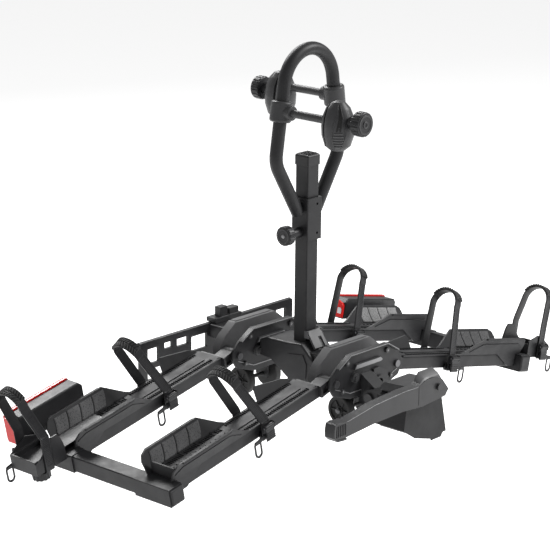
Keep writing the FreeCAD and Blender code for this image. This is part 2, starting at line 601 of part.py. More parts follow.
def clamp_arm(z, sgn, yend):
    # collar on the hoop leg and a rod to the clamp head
    q, d = hoop_at(z, sgn)
    k = 1 if yend > 0 else -1
    col = Part.makeCylinder(26, 50, q - d * 25, d)
    col = fil(col, 6.0, lambda e: abs(e.Length - 2 * math.pi * 26) < 0.5)
    bossr = cyl((q.x, q.y, q.z), (0, k, 0), 17, 36)
    rod = cyl((q.x, q.y, q.z), (0, k, 0), 9.5, abs(yend - q.y))
    arm = fuse(col, bossr, rod)
    arm = cut(arm, Part.makeCylinder(HOOP_R, 120, q - d * 60, d))
    return arm, q

def egg(x, y, z, r, hz):
    # tall rounded head turned about its own upright axis
    pts = [(0, -1.0), (0.42, -0.97), (0.78, -0.78), (0.97, -0.38), (1.0, 0.0), (0.93, 0.36), (0.72, 0.70), (0.40, 0.93), (0, 1.0)]
    w = Part.makePolygon([V(x + a * r, y, z + b * hz) for a, b in pts] + [V(x, y, z - hz)])
    return Part.Face(w).revolve(V(x, y, z), V(0, 0, 1), 360)

def clamp_set(tag, z, sgn, k, yhead, zhead, yrod, yknob, zk):
    arm, q = clamp_arm(z, sgn, yrod)
    hr, hz = 39.0, 60.0
    e = egg(q.x, yhead, zhead, hr, hz)
    ysplit = yhead - k * 12
    big = 300
    if k < 0:
        inner = e.common(box(q.x - big, q.x + big, ysplit + 2.5, big, 300, 900))
        outer = e.common(box(q.x - big, q.x + big, -big * 2, ysplit - 2.5, 300, 900))
    else:
        inner = e.common(box(q.x - big, q.x + big, -big, ysplit - 2.5, 300, 900))
        outer = e.common(box(q.x - big, q.x + big, ysplit + 2.5, big * 2, 300, 900))
    # shallow grooves that grip the bicycle's tube
    groove = cyl_z(q.x, ysplit, 13, zhead - 80, zhead + 80)
    groove = groove.common(box(q.x - 20, q.x + 20, ysplit - 8, ysplit + 8, zhead - 90, zhead + 90))
    inner = cut(inner, groove)
    outer = cut(outer, groove)
    arm = fuse(arm, inner)
    # threaded rod runs from the arm through the outer half
    rr = 5.0
    stem_y0 = yhead - k * 26
    y_a, y_b = (yknob + 8, ysplit + 6) if k < 0 else (ysplit - 6, yknob - 8)
    outer = cut(outer, cyl_y(q.x, zk, rr + RUN, min(y_a, y_b) - 30, max(y_a, y_b) + 30))
    arm = cut(arm, cyl_y(q.x, zk, rr + RUN, *sorted((stem_y0 - k * 1.5, yknob))))
    kb = []
    y0, y1 = sorted((yknob - k * 12, yknob + k * 12))
    kd = cyl_y(q.x, zk, 29, y0, y1)
    kd = fil(kd, 4.0, lambda ed: abs(ed.Length - 2 * math.pi * 29) < 0.5)
    for i in range(16):
        a = 2 * math.pi * i / 16
        kd = cut(kd, cyl_y(q.x + 30.5 * math.cos(a), zk + 30.5 * math.sin(a), 3.4, y0 - 5, y1 + 5))
    ys0, ys1 = sorted((stem_y0, yknob))
    stem = cyl_y(q.x, zk, rr, ys0, ys1)
    c0, c1 = sorted((yhead + k * 39.5, yknob - k * 11))
    collar = cyl_y(q.x, zk, 14, c0, c1)
    knob = fuse(kd, stem, collar)
    outer = cut(outer, cyl_y(q.x, zk, 14.3, *sorted((yhead + k * 37.0, yhead + k * 80))))
    put("clamp_arm_" + tag, *arm.Solids)
    put("clamp_half_" + tag, *outer.Solids)
    put("clamp_knob_" + tag, knob)
    return q

qf = clamp_set("f", 597, -1, -1, -190.0, 590.0, -150.0, -260.0, 603.0)
qr = clamp_set("r", 610, 1, 1, 160.0, 588.0, 120.0, 224.0, 596.0)

# ================= coupling =====================================================
# cast body: arms round the tilt lug, ball cup
AX = 20.4
arms = []
for k in (-1, 1):
    x0, x1 = (AX, AX + 16) if k > 0 else (-AX - 16, -AX)
    a = fuse(pyz([(TILT_Y, TILT_Z - 20), (TILT_Y, TILT_Z + 20), (-292, -34), (-300, -34), (-300, -122), (-284, -110)], x0, x1), cyl_x(TILT_Y, TILT_Z, 20, x0, x1))
    arms.append(a)
body = box(-52, 52, -386, -298, -128, -40)
body = fil(body, 8.0, along("y"))
cupz = -70
body = cut(body, Part.makeSphere(BALL_R + 0.6, V(0, BALL_Y, BALL_Z)))
body = cut(body, cyl_z(0, BALL_Y, BALL_R + 0.6, -140, BALL_Z))
body = fuse(body, arms[0], arms[1])
# jaw pocket in front of the ball
body = cut(body, box(-18.3, 18.3, -384, BALL_Y - 10, -124, -84))
body = cut(body, Part.makeSphere(BALL_R + 0.6, V(0, BALL_Y, BALL_Z)))
# cored pockets beside the ball cup, open to the rear
for k in (-1, 1):
    body = cut(body, box(*(sorted((k * 34, k * 46))), -372, -297, -122, -48))
# slanted top deck towards the right
deck = pyz([(-386, -40), (-298, -40), (-298, -26), (-310, -14), (-376, -10), (-386, -16)], -52, 40)
deck = cham(deck, 6.0, along("y"))
body = fuse(body, deck)
body = cut(body, cyl_x(TILT_Y, TILT_Z, 8, -60, 60))
put("coupling_body", *body.Solids)
# moulded skirt around the body
def frust(x0b, x1b, y0b, y1b, zb, x0t, x1t, y0t, y1t, zt):
    w1 = Part.makePolygon([V(x0b, y0b, zb), V(x1b, y0b, zb), V(x1b, y1b, zb), V(x0b, y1b, zb), V(x0b, y0b, zb)])
    w2 = Part.makePolygon([V(x0t, y0t, zt), V(x1t, y0t, zt), V(x1t, y1t, zt), V(x0t, y1t, zt), V(x0t, y0t, zt)])
    return Part.makeLoft([w1, w2], True, True)
sk_o = frust(-86, 86, -393, -298, -160, -64, 64, -389, -298, -44)
sk_i = frust(-82, 82, -389.5, -297, -161, -60, 60, -386.0, -297, -43)
skirt = cut(sk_o, sk_i)
# sloping lower edge: low at the front, stepped at the right
skirt = cut(skirt, pyz([(-380, -165), (-290, -165), (-290, -120), (-318, -120)], -100, 100))
skirt = cut(skirt, pxz([(60, -165), (100, -165), (100, -150), (72, -150)], -400, -290))
skirt = cut(skirt, pxz([(-100, -165), (27, -165), (27, -156), (-34, -139), (-84, -107), (-100, -107)], -400, -290))
put("coupling_cover", *skirt.Solids)
# pins
LEV_X, LEV_Z = 10.0, -14.0
lp = fuse(cyl_y(LEV_X, LEV_Z, 5, -424, -380), cyl_y(LEV_X, LEV_Z, 8, -428, -423.5))
lp_b = box(-8, 30, -393.0, -386, -30, 2)
body_pad = lp_b
tp = fuse(cyl_x(TILT_Y, TILT_Z, 8, -42, 42), cyl_x(TILT_Y, TILT_Z, 12, -42, -36.5), cyl_x(TILT_Y, TILT_Z, 12, 36.5, 42))

# clamp lever: long channel across the front, open to the rear
front = [(-360, -44), (-358, -15), (-330, -18), (-278, -11), (-222, -2), (-118, 4), (-66, 3), (-40, 12), (-8, 14), (24, 2), (50, -28), (38, -43), (-50, -49), (-120, -44), (-221, -46), (-329, -54), (-352, -52)]
lv = pxz(front, -422, -396)
inn = [(-354, -42), (-352, -19), (-330, -22), (-278, -15), (-222, -6), (-118, 0), (-66, -1), (-40, 8), (-8, 10), (22, -2), (45, -28), (36, -39), (-50, -45), (-120, -40), (-221, -42), (-329, -50), (-350, -48)]
lv = cut(lv, pxz(inn, -418, -395))
# raised shoulder over the pivot with a sloping face
hump = pyz([(-415, -3.3), (-415, 16.4), (-398.6, 26), (-396, 26), (-396, -3.3)], -34, 14.6)
lv = fuse(lv, hump)
lv = fuse(lv, cyl_y(LEV_X, LEV_Z, 12, -418.1, -396))
lv = cut(lv, cyl_y(LEV_X, LEV_Z, 5 + RUN, -430, -390))
put("lever_channel", lv)
g = pxz([(-363, -14), (-366, -30), (-365, -46), (-354, -56), (-329, -58), (-322, -57.5), (-322, -53.7), (-329, -54.2), (-352, -52.2), (-360, -44), (-358, -15), (-330, -18), (-322, -16.9), (-322, -13), (-332, -14), (-352, -11)], -425, -396)
gf = []
for i in range(6):
    x = -356 + i * 6
    gf.append(box(x, x + 2.6, -425, -422, -46, -20))
g = fuse(g, *gf, pxz([(-358, -15), (-360, -44), (-352, -52), (-329, -54), (-322, -53), (-322, -17), (-330, -18)], -423, -422))
put("lever_grip", *g.Solids)
# jaw: block with a hollow that closes on the front of the ball
jw = box(-18, 18, -376, BALL_Y - 12, -122, -86)
jw = cut(jw, Part.makeSphere(BALL_R + 0.6, V(0, BALL_Y, BALL_Z)))
put("clamp_jaw", *jw.Solids)
# tilt catch: sprung hook beside the left arm
tc = pyz([(-262, -94), (-292, -66), (-296, -70), (-268, -102), (-258, -102)], -46, -37.0)
tc = fuse(tc, cyl_x(-290, -70, 7, -46, -37.0))
tc = cut(tc, cyl_x(-290, -70, 3 + RUN, -50, -30))
put("tilt_catch", tc)
cp = fuse(cyl_x(-290, -70, 3, -47, -30), cyl_x(-290, -70, 6, -49, -46.3))
put("coupling_pins", cut(lp, body), tp, *cut(cp, body).Solids)

for n, s in OUT.items():
    s.exportStep("parts/%s.step" % n)
print(len(OUT), "nodes")
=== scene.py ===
import bpy, json, math
from mathutils import Vector, Matrix


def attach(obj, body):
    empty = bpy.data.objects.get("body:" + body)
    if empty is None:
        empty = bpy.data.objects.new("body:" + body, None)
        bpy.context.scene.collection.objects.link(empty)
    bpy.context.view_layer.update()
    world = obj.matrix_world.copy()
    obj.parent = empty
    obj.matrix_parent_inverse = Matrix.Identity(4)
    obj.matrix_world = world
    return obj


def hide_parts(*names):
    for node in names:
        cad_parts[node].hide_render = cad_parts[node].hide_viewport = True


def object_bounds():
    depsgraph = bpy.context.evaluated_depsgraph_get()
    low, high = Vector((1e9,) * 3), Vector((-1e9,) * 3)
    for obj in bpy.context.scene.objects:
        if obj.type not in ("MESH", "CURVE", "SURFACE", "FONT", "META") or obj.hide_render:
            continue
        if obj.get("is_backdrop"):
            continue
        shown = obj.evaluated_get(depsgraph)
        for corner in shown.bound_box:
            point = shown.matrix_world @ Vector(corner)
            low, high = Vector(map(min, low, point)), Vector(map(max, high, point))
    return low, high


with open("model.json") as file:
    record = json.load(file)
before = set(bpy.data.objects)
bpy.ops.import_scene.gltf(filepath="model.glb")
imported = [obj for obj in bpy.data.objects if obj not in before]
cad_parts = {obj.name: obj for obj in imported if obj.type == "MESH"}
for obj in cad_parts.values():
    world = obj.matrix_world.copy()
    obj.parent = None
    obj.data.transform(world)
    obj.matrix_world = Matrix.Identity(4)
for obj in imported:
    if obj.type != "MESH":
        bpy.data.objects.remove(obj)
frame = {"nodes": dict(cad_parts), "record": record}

CAD_LO, CAD_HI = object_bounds()
NODES = frame["nodes"]
BODY = {n: b for b, ns in frame["record"]["behaviour"]["bodies"].items() for n in ns}

# ------------------------------------------------------------------ frames (mm)
DR = math.radians(12.1)
C, S = math.cos(DR), math.sin(DR)
TY = 156.5

def draw(p):
    """drawing frame in mm -> row frame in metres"""
    return (p[0] / 1000.0, (p[1] + 340.0) / 1000.0, (p[2] + 100.0) / 1000.0)

def half(side, y0=0.0, s0=0.0):
    """local frame of one half (s outward, y, t up) -> row frame"""
    k = 1.0 if side == "r" else -1.0
    def f(p):
        s, y, t = p[0] + s0, p[1] + y0, p[2]
        return draw((k * (136.0 + s * C + t * S), y, -s * S + t * C))
    return f

# ------------------------------------------------------------------ materials
def rgb(v):
    return (v[0], v[1], v[2], 1.0)

def mix_color(nt, fac, a, b):
    m = nt.nodes.new("ShaderNodeMix")
    m.data_type = "RGBA"
    nt.links.new(fac, m.inputs[0])
    m.inputs[6].default_value = rgb(a)
    m.inputs[7].default_value = rgb(b)
    return m.outputs[2]

def ramp(nt, src, lo, hi, a=0.0, b=1.0):
    r = nt.nodes.new("ShaderNodeMapRange")
    r.inputs[1].default_value = lo
    r.inputs[2].default_value = hi
    r.inputs[3].default_value = a
    r.inputs[4].default_value = b
    r.clamp = True
    nt.links.new(src, r.inputs[0])
    return r.outputs[0]

def noise(nt, co, scale, detail=3.0, rough=0.5, stretch=None):
    if stretch is not None:
        mp = nt.nodes.new("ShaderNodeMapping")
        mp.inputs["Scale"].default_value = stretch
        nt.links.new(co, mp.inputs[0])
        co = mp.outputs[0]
    n = nt.nodes.new("ShaderNodeTexNoise")
    n.inputs["Scale"].default_value = scale
    n.inputs["Detail"].default_value = detail
    n.inputs["Roughness"].default_value = rough
    nt.links.new(co, n.inputs["Vector"])
    return n.outputs["Fac"]

def surface(name, base, tint, rough, metallic=0.0, grain=900.0, grain_h=0.00012, grain_s=0.35, broad=9.0, spec=0.34,
            rough_var=0.12, speck=None, speck_scale=420.0, stretch=None, coat=0.0, cells=False):
    m = bpy.data.materials.new(name)
    m.use_nodes = True
    nt = m.node_tree
    bs = nt.nodes["Principled BSDF"]
    tc = nt.nodes.new("ShaderNodeTexCoord")
    co = tc.outputs["Object"]
    big = noise(nt, co, broad, 4.0, 0.6)
    fac = ramp(nt, big, 0.35, 0.68)
    col = mix_color(nt, fac, base, tint)
    if speck is not None:
        sp = noise(nt, co, speck_scale, 2.0, 0.7)
        f2 = ramp(nt, sp, 0.52, 0.66)
        mm = nt.nodes.new("ShaderNodeMix")
        mm.data_type = "RGBA"
        nt.links.new(f2, mm.inputs[0])
        nt.links.new(col, mm.inputs[6])
        mm.inputs[7].default_value = rgb(speck)
        col = mm.outputs[2]
    nt.links.new(col, bs.inputs["Base Color"])
    rn = noise(nt, co, broad * 3.1, 3.0, 0.6)
    nt.links.new(ramp(nt, rn, 0.3, 0.7, max(0.04, rough - rough_var / 2), min(1.0, rough + rough_var / 2)), bs.inputs["Roughness"])
    if cells:
        g = nt.nodes.new("ShaderNodeTexVoronoi")
        g.inputs["Scale"].default_value = grain
        nt.links.new(co, g.inputs["Vector"])
        gs = g.outputs["Distance"]
    else:
        gs = noise(nt, co, grain, 2.0, 0.55, stretch)
    bp = nt.nodes.new("ShaderNodeBump")
    bp.inputs["Strength"].default_value = grain_s
    bp.inputs["Distance"].default_value = grain_h
    nt.links.new(gs, bp.inputs["Height"])
    nt.links.new(bp.outputs["Normal"], bs.inputs["Normal"])
    bs.inputs["Metallic"].default_value = metallic
    bs.inputs["Specular IOR Level"].default_value = spec
    if coat:
        bs.inputs["Coat Weight"].default_value = coat
        bs.inputs["Coat Roughness"].default_value = 0.12
    return m

M = {}
M["steel"] = surface("coated_steel", (0.0137, 0.0137, 0.0151), (0.0202, 0.0202, 0.0216), 0.50, grain=650.0, grain_h=0.00016, grain_s=0.4)
M["cast"] = surface("coated_casting", (0.0151, 0.0151, 0.0166), (0.0238, 0.0238, 0.0252), 0.46, grain=380.0, grain_h=0.00035, grain_s=0.5)
M["plastic"] = surface("moulded_black", (0.0137, 0.0137, 0.0151), (0.0209, 0.0209, 0.0223), 0.40, grain=1100.0, grain_h=0.0001, grain_s=0.4)
M["lever"] = surface("lever_black", (0.0245, 0.0245, 0.0259), (0.0331, 0.0331, 0.0346), 0.38, grain=800.0, grain_h=0.00012, grain_s=0.4)
M["tray"] = surface("moulded_tray", (0.0158, 0.0158, 0.0173), (0.0238, 0.0238, 0.0252), 0.56, grain=900.0, grain_h=0.00014, grain_s=0.45)
M["liner"] = surface("tray_liner_grey", (0.085, 0.085, 0.087), (0.135, 0.135, 0.137), 0.62, grain=520.0, grain_h=0.0004, grain_s=0.8, speck=(0.03, 0.03, 0.031), speck_scale=330.0, cells=True)
# painted light: a lighter copy of the liner grey and its specks, used only on the right rear tray to stand for its lit
# look
M["liner_painted_lit"] = surface("tray_liner_light", (0.24, 0.24, 0.24), (0.36, 0.36, 0.36), 0.65, grain=520.0, grain_h=0.0004, grain_s=0.8, speck=(0.09, 0.09, 0.09), speck_scale=330.0, cells=True)
# real light grey moulding for the hinge covers and release handle, also used as painted highlight on the clamp ribs and
# lever facet
M["grey"] = surface("moulded_grey_and_painted_highlight", (0.0840, 0.0840, 0.0864), (0.1120, 0.1120, 0.1144), 0.42, grain=800.0, grain_h=0.00012, grain_s=0.4)
# painted highlight: light strips along edges, bright bolt centres and a bright knob centre, standing in for highlights
M["rim"] = surface("painted_highlight", (0.20, 0.20, 0.205), (0.27, 0.27, 0.275), 0.34, metallic=0.3, grain=900.0, grain_h=0.0001, grain_s=0.3)
M["soft_grey"] = surface("cast_grey", (0.0360, 0.0360, 0.0382), (0.0540, 0.0540, 0.0554), 0.42, grain=700.0, grain_h=0.00016, grain_s=0.4)
M["strap"] = surface("strap_moulding", (0.0122, 0.0122, 0.0137), (0.0180, 0.0180, 0.0194), 0.38, grain=1300.0, grain_h=0.0001, grain_s=0.35)
M["pad"] = surface("pad_rubber", (0.0151, 0.0151, 0.0158), (0.0238, 0.0238, 0.0245), 0.52, grain=900.0, grain_h=0.0002, grain_s=0.5)
M["rubber"] = surface("wheel_rubber", (0.013, 0.013, 0.013), (0.022, 0.022, 0.022), 0.62, grain=700.0, grain_h=0.00025, grain_s=0.5)
M["zinc"] = surface("plated_steel", (0.14, 0.14, 0.15), (0.20, 0.20, 0.21), 0.36, metallic=1.0, grain=900.0, grain_h=0.00008, grain_s=0.3, stretch=(1.0, 6.0, 1.0))
M["dark_zinc"] = surface("dark_fastener", (0.10, 0.10, 0.105), (0.16, 0.16, 0.165), 0.34, metallic=0.8, grain=900.0, grain_h=0.00008, grain_s=0.3)
M["red"] = surface("lens_red", (0.58, 0.010, 0.010), (0.72, 0.020, 0.016), 0.16, grain=300.0, grain_h=0.0002, grain_s=0.2, rough_var=0.05, coat=0.15)
M["clear"] = surface("lens_clear", (0.66, 0.66, 0.68), (0.80, 0.79, 0.82), 0.14, grain=300.0, grain_h=0.0003, grain_s=0.3, rough_var=0.05, coat=0.15)
M["cover"] = surface("cover_black", (0.0085, 0.0085, 0.0095), (0.014, 0.014, 0.015), 0.55, grain=700.0, grain_h=0.0002, grain_s=0.5)
# painted shade: near-black strips standing in for the clamp slot and a line on the lever
M["dark"] = surface("painted_recess_shade", (0.008, 0.008, 0.008), (0.012, 0.012, 0.012), 0.6)

def finish_node(node, key, width=0.0010, angle=32.0, seg=2):
    """a CAD node stays as it is, with its sharp edges softened and its finish set"""
    o = NODES[node]
    o.data.materials.clear()
    o.data.materials.append(M[key])
    for p in o.data.polygons:
        p.use_smooth = True
    w = o.modifiers.new("weld", "WELD")
    w.merge_threshold = 0.000004
    d = o.modifiers.new("planar", "DECIMATE")
    d.decimate_type = "DISSOLVE"
    d.angle_limit = math.radians(0.6)
    if width:
        b = o.modifiers.new("edge", "BEVEL")
        b.width = width
        b.segments = seg
        b.limit_method = "ANGLE"
        b.angle_limit = math.radians(angle)
        b.use_clamp_overlap = True
        b.harden_normals = True
    n = o.modifiers.new("normals", "WEIGHTED_NORMAL")
    n.keep_sharp = False
    n.weight = 80
    return o

NODE_MAT = {}
for n in NODES:
    NODE_MAT[n] = "plastic"
for n in ("spine", "arch_plate_f", "arch_plate_r", "mast_tube", "beams_l", "beams_r", "cross_tube_l", "cross_tube_r", "hoop", "sleeve"):
    NODE_MAT[n] = "steel"
for n in ("coupling_body", "mast_foot", "chassis_brackets", "knuckles_l", "knuckles_r"):
    NODE_MAT[n] = "cast"
for n in ("tray_lf", "tray_lr", "tray_rf", "tray_rr"):
    NODE_MAT[n] = "tray"
for n in ("hinge_cover_f", "hinge_cover_r", "release_handle"):
    NODE_MAT[n] = "grey"
for n in ("clamp_jaw", "coupling_pins", "tilt_catch"):
    NODE_MAT[n] = "zinc"
for n in ("fold_pins", "arch_hardware"):
    NODE_MAT[n] = "dark_zinc"
for n in NODES:
    if n.startswith("strap") or n.startswith("buckle"):
        NODE_MAT[n] = "strap"
for n in ("wheels_f", "wheels_r"):
    NODE_MAT[n] = "rubber"
NODE_MAT["coupling_cover"] = "cover"
NODE_MAT["coupling_pins"] = "lever"
NODE_MAT["arch_hardware"] = "soft_grey"
for n in ("lever_channel", "lever_grip", "plate_lamp"):
    NODE_MAT[n] = "lever"
for n in ("clamp_half_f", "clamp_half_r", "clamp_arm_f", "clamp_arm_r"):
    NODE_MAT[n] = "soft_grey"
for n in ("lamp_lens_l", "lamp_lens_r"):
    NODE_MAT[n] = "red"

# ------------------------------------------------------------------ mesh builder
class Build:
    def __init__(self, T=draw):
        self.T, self.v, self.f, self.m, self.mats = T, [], [], [], []

    def mat(self, key):
        if key not in self.mats:
            self.mats.append(key)
        self.cur = self.mats.index(key)
        return self

    def add(self, vs, fs):
        n = len(self.v)
        self.v += [self.T(p) for p in vs]
        for f in fs:
            self.f.append([n + i for i in f])
            self.m.append(self.cur)

    def rings(self, rings, closed=True, caps=True, wrap=False):
        """skin over rings of equally many points"""
        k = len(rings[0])
        vs = [p for r in rings for p in r]
        fs = []
        n = len(rings)
        for i in range(n if wrap else n - 1):
            a, b = i * k, ((i + 1) % n) * k
            for j in range(k if closed else k - 1):
                j2 = (j + 1) % k
                fs.append([a + j, a + j2, b + j2, b + j])
        if caps and not wrap:
            fs.append(list(range(k))[::-1])
            fs.append([(n - 1) * k + j for j in range(k)])
        self.add(vs, fs)

    def box(self, x0, x1, y0, y1, z0, z1):
        self.rings([[(x0, y0, z), (x1, y0, z), (x1, y1, z), (x0, y1, z)] for z in (z0, z1)])

    def prism(self, pts, ax, a, b):
        """closed outline in the plane across ax, extruded from a to b"""
        def at(p, w):
            if ax == 0:
                return (w, p[0], p[1])
            if ax == 1:
                return (p[0], w, p[1])
            return (p[0], p[1], w)
        self.rings([[at(p, w) for p in pts] for w in (a, b)])

    def lathe(self, c, ax, prof, n=32, a0=0.0, lobes=0, depth=0.0):
        """profile (distance along the axis, radius) turned about ax through c"""
        rings = []
        for h, r in prof:
            ring = []
            for i in range(n):
                a = a0 + 2 * math.pi * i / n
                rr = r
                if lobes and r > 0.6 * max(q[1] for q in prof):
                    rr = r - depth * max(0.0, math.cos(a * lobes)) ** 2
                u, w = rr * math.cos(a), rr * math.sin(a)
                p = [c[0], c[1], c[2]]
                o = [i2 for i2 in (0, 1, 2) if i2 != ax]
                p[ax] += h
                p[o[0]] += u
                p[o[1]] += w
                ring.append(tuple(p))
            rings.append(ring)
        self.rings(rings)

    def obj(self, name, body, replaces=(), bevel=0.0, angle=35.0, seg=2, slot=None):
        me = bpy.data.meshes.new(name)
        me.from_pydata([tuple(p) for p in self.v], [], self.f)
        for k in self.mats:
            me.materials.append(M[k])
        for p, mi in zip(me.polygons, self.m):
            p.material_index = mi
            p.use_smooth = True
        o = bpy.data.objects.new(name, me)
        bpy.context.scene.collection.objects.link(o)
        import bmesh
        bm = bmesh.new()
        bm.from_mesh(me)
        bmesh.ops.recalc_face_normals(bm, faces=bm.faces)
        bm.to_mesh(me)
        bm.free()
        for p in me.polygons:
            p.use_smooth = True
        if bevel:
            b = o.modifiers.new("edge", "BEVEL")
            b.width = bevel
            b.segments = seg
            b.limit_method = "ANGLE"
            b.angle_limit = math.radians(angle)
            b.harden_normals = True
        n = o.modifiers.new("normals", "WEIGHTED_NORMAL")
        n.keep_sharp = False
        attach(o, body)
        if replaces:
            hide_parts(*replaces)
        return o

# ------------------------------------------------------------------ straps
LEG, CROWN = 47.0, 40.0
def strap_path(h, t_low, sh, tk, lean, step=0.9):
    """outer face of the strap as (y, u, normal y, normal u); u runs up the leaning loop from its root"""
    c = math.hypot(lean, h - CROWN - tk)
    pts = []
    def line(a, b):
        L = math.hypot(b[0] - a[0], b[1] - a[1])
        n = max(1, int(L / step))
        dy, dt = (b[0] - a[0]) / L, (b[1] - a[1]) / L
        for i in range(n):
            q = i / n
            pts.append((a[0] + (b[0] - a[0]) * q, a[1] + (b[1] - a[1]) * q, -dt, dy))
    line((-LEG, t_low - tk), (-LEG, 0.0))
    line((-LEG, 0.0), (-CROWN + sh, c))
    n = int(math.pi * CROWN / step)
    for i in range(n):
        a = math.pi - math.pi * i / n
        pts.append((sh + CROWN * math.cos(a), c + CROWN * math.sin(a), math.cos(a), math.sin(a)))
    line((CROWN + sh, c), (LEG, 0.0))
    line((LEG, 0.0), (LEG, t_low - tk))
    pts.append((LEG, t_low - tk, 1.0, 0.0))
    return pts, c

def strap_object(name, body, side, items, replaces):
    b = None
    for it in items:
        s0, y0, h, t_low, near, sh, tk, lean, tail_t0, base_t0 = it
        T0 = half(side, y0, s0)
        k = 1.0 if near < 0 else -1.0
        T = (lambda T0, k: (lambda p: T0((p[0], p[1] * k, p[2]))))(T0, k)
        A0 = math.atan2(lean, h - CROWN - tk)
        def leaned(p, T=T, tk=tk, A0=A0):
            # the loop above its root is turned outward about the root line
            u = p[2]
            q = min(1.0, max(0.0, u / 6.0))
            ca, sa = math.cos(A0 * q), math.sin(A0 * q)
            if u <= 0.0:
                return T((p[0], p[1], tk + u))
            return T((p[0] * ca + u * math.sin(A0), p[1], tk + u * math.cos(A0) - p[0] * sa))
        if b is None:
            b = Build(T)
        b.T = leaned
        b.mat("strap")
        shl = sh * k
        path, c = strap_path(h, t_low, shl, tk, lean)
        # band with ratchet teeth on its outer face
        rings = []
        pitch = 4.2
        L = 0.0
        total = len(path) * 0.9
        for i, (y, t, ny, nt_) in enumerate(path):
            if i:
                L += math.hypot(y - path[i - 1][0], t - path[i - 1][1])
            ph = (L / pitch) % 1.0
            on = 1.0 if (10.0 < L < 0.36 * total or 0.66 * total < L < total - 12.0) else 0.0
            hh = 1.3 * on * (1.0 - ph if ph > 0.22 else ph / 0.22)
            th = -3.5
            cs = [(-12.5, -0.3), (-11.6, 0.0), (-8.2, 0.0), (-8.0, hh - 1.0 * on), (8.0, hh - 1.0 * on), (8.2, 0.0), (11.6, 0.0), (12.5, -0.3), (12.5, th), (-12.5, th)]
            rings.append([(s, y + ny * d, t + nt_ * d) for s, d in cs])
        b.rings(rings)
        # pad over the crown, cut into tread blocks
        b.mat("pad")
        A = math.radians(62.0)
        nu, nv = 112, 34
        W = 15.0
        top = []
        for i in range(nu + 1):
            a = -A + 2 * A * i / nu
            row = []
            for j in range(nv + 1):
                v = -W + 2 * W * j / nv
                u = a * (CROWN + 3.0)
                w_ = abs(v) * 0.55 + u
                g1 = abs((w_ / 7.4) % 1.0 - 0.5) * 7.4
                g2 = abs(v)
                hh = 4.3 - 2.6 * max(0.0, 1.0 - g1 / 1.5) - 1.6 * max(0.0, 1.0 - g2 / 1.2)
                hh = max(hh, 1.4)
                e = min(1.0, (W - abs(v)) / 1.6, (A - abs(a)) * 42.0 / 3.0)
                if e < 1.0:
                    hh = 0.5 + (hh - 0.5) * max(0.0, e) ** 0.5
                r = CROWN + hh
                row.append((v, shl + r * math.sin(a), c + r * math.cos(a)))
            top.append(row)
        rings = []
        for i in range(nu + 1):
            a = -A + 2 * A * i / nu
            r = CROWN - 4.6
            under = [(W - 0.6, shl + (CROWN - 0.1) * math.sin(a), c + (CROWN - 0.1) * math.cos(a)),
                     (W - 3.4, shl + (r + 0.6) * math.sin(a), c + (r + 0.6) * math.cos(a)),
                     (-W + 3.4, shl + (r + 0.6) * math.sin(a), c + (r + 0.6) * math.cos(a)),
                     (-W + 0.6, shl + (CROWN - 0.1) * math.sin(a), c + (CROWN - 0.1) * math.cos(a))]
            rings.append(top[i] + under)
        b.rings(rings)
        # buckle base, foot, tail and pull ring
        b.T = T
        b.mat("strap")
        y = LEG
        t0 = base_t0
        top_t = t0 + 40
        b.prism([(-y, t0), (-y - 2.4, t0), (-y - 3.0, t0 + 4), (-y - 3.0, top_t - 5), (-y - 1.6, top_t), (-y, top_t)], 0, -17, 17)
        lo = t0 + 18
        for x0 in (-17.0, 14.0):
            b.prism([(-y - 2.9, lo), (-y - 9, lo + 2), (-y - 13.4, lo + 9), (-y - 14, lo + 16), (-y - 11, top_t), (-y - 2.9, top_t)], 0, x0, x0 + 3.0)
        b.mat("zinc")
        b.lathe((0, -y - 9.5, t0 + 33), 0, [(-17.6, 0.4), (-17.6, 2.4), (17.6, 2.4), (17.6, 0.4)], 16)
        b.mat("strap")
        if base_t0 < -45:
            b.box(-15, 15, -43.5, -34.7, t0, t0 + 16)
            b.box(-14, 14, 34.7, 43.5, -50, -32)
            b.prism([(47.0, -50), (49.5, -50), (49.5, -35), (48.2, -32), (47.0, -32)], 0, -14, 14)
        yo = 50.5
        q = tail_t0
        n = 30
        S0 = 40.0
        oval, inner = [], []
        for i in range(n):
            a = 2 * math.pi * i / n
            ct, st = math.cos(a), math.sin(a)
            sh_ = 10.0 if st >= 0 else -10.0
            oval.append((S0 + 12 * ct, q - 22 + sh_ + 12 * st))
            inner.append((S0 + 7.5 * ct, q - 22.5 + (8.5 if st >= 0 else -8.5) + 7.5 * st))
        rings = []
        for i in range(n):
            o_, i_ = oval[i], inner[i]
            mx, mz = (o_[0] + i_[0]) / 2, (o_[1] + i_[1]) / 2
            rings.append([(o_[0], -yo - 0.5, o_[1]), (mx, -yo, mz), (i_[0], -yo - 0.5, i_[1]), (i_[0], -yo - 2.5, i_[1]), (mx, -yo - 3, mz), (o_[0], -yo - 2.5, o_[1])])
        b.rings(rings, caps=False, wrap=True)
        b.prism([(-12, q + 2), (4, q + 6), (S0 + 10, q - 2), (S0 + 8, q - 10), (S0 - 8, q - 10)], 1, -yo - 2.6, -yo - 0.3)
        for i in range(7):
            x = 2 + i * 5.2
            b.prism([(x, q - 4.0 - i * 0.8), (x + 2.4, q - 4.4 - i * 0.8), (x + 3.2, q + 4.2 - i * 1.1), (x + 0.8, q + 4.8 - i * 1.1)], 1, -yo - 3.1, -yo - 2.5)
    o = b.obj(name, body, replaces, bevel=0.0)
    return o

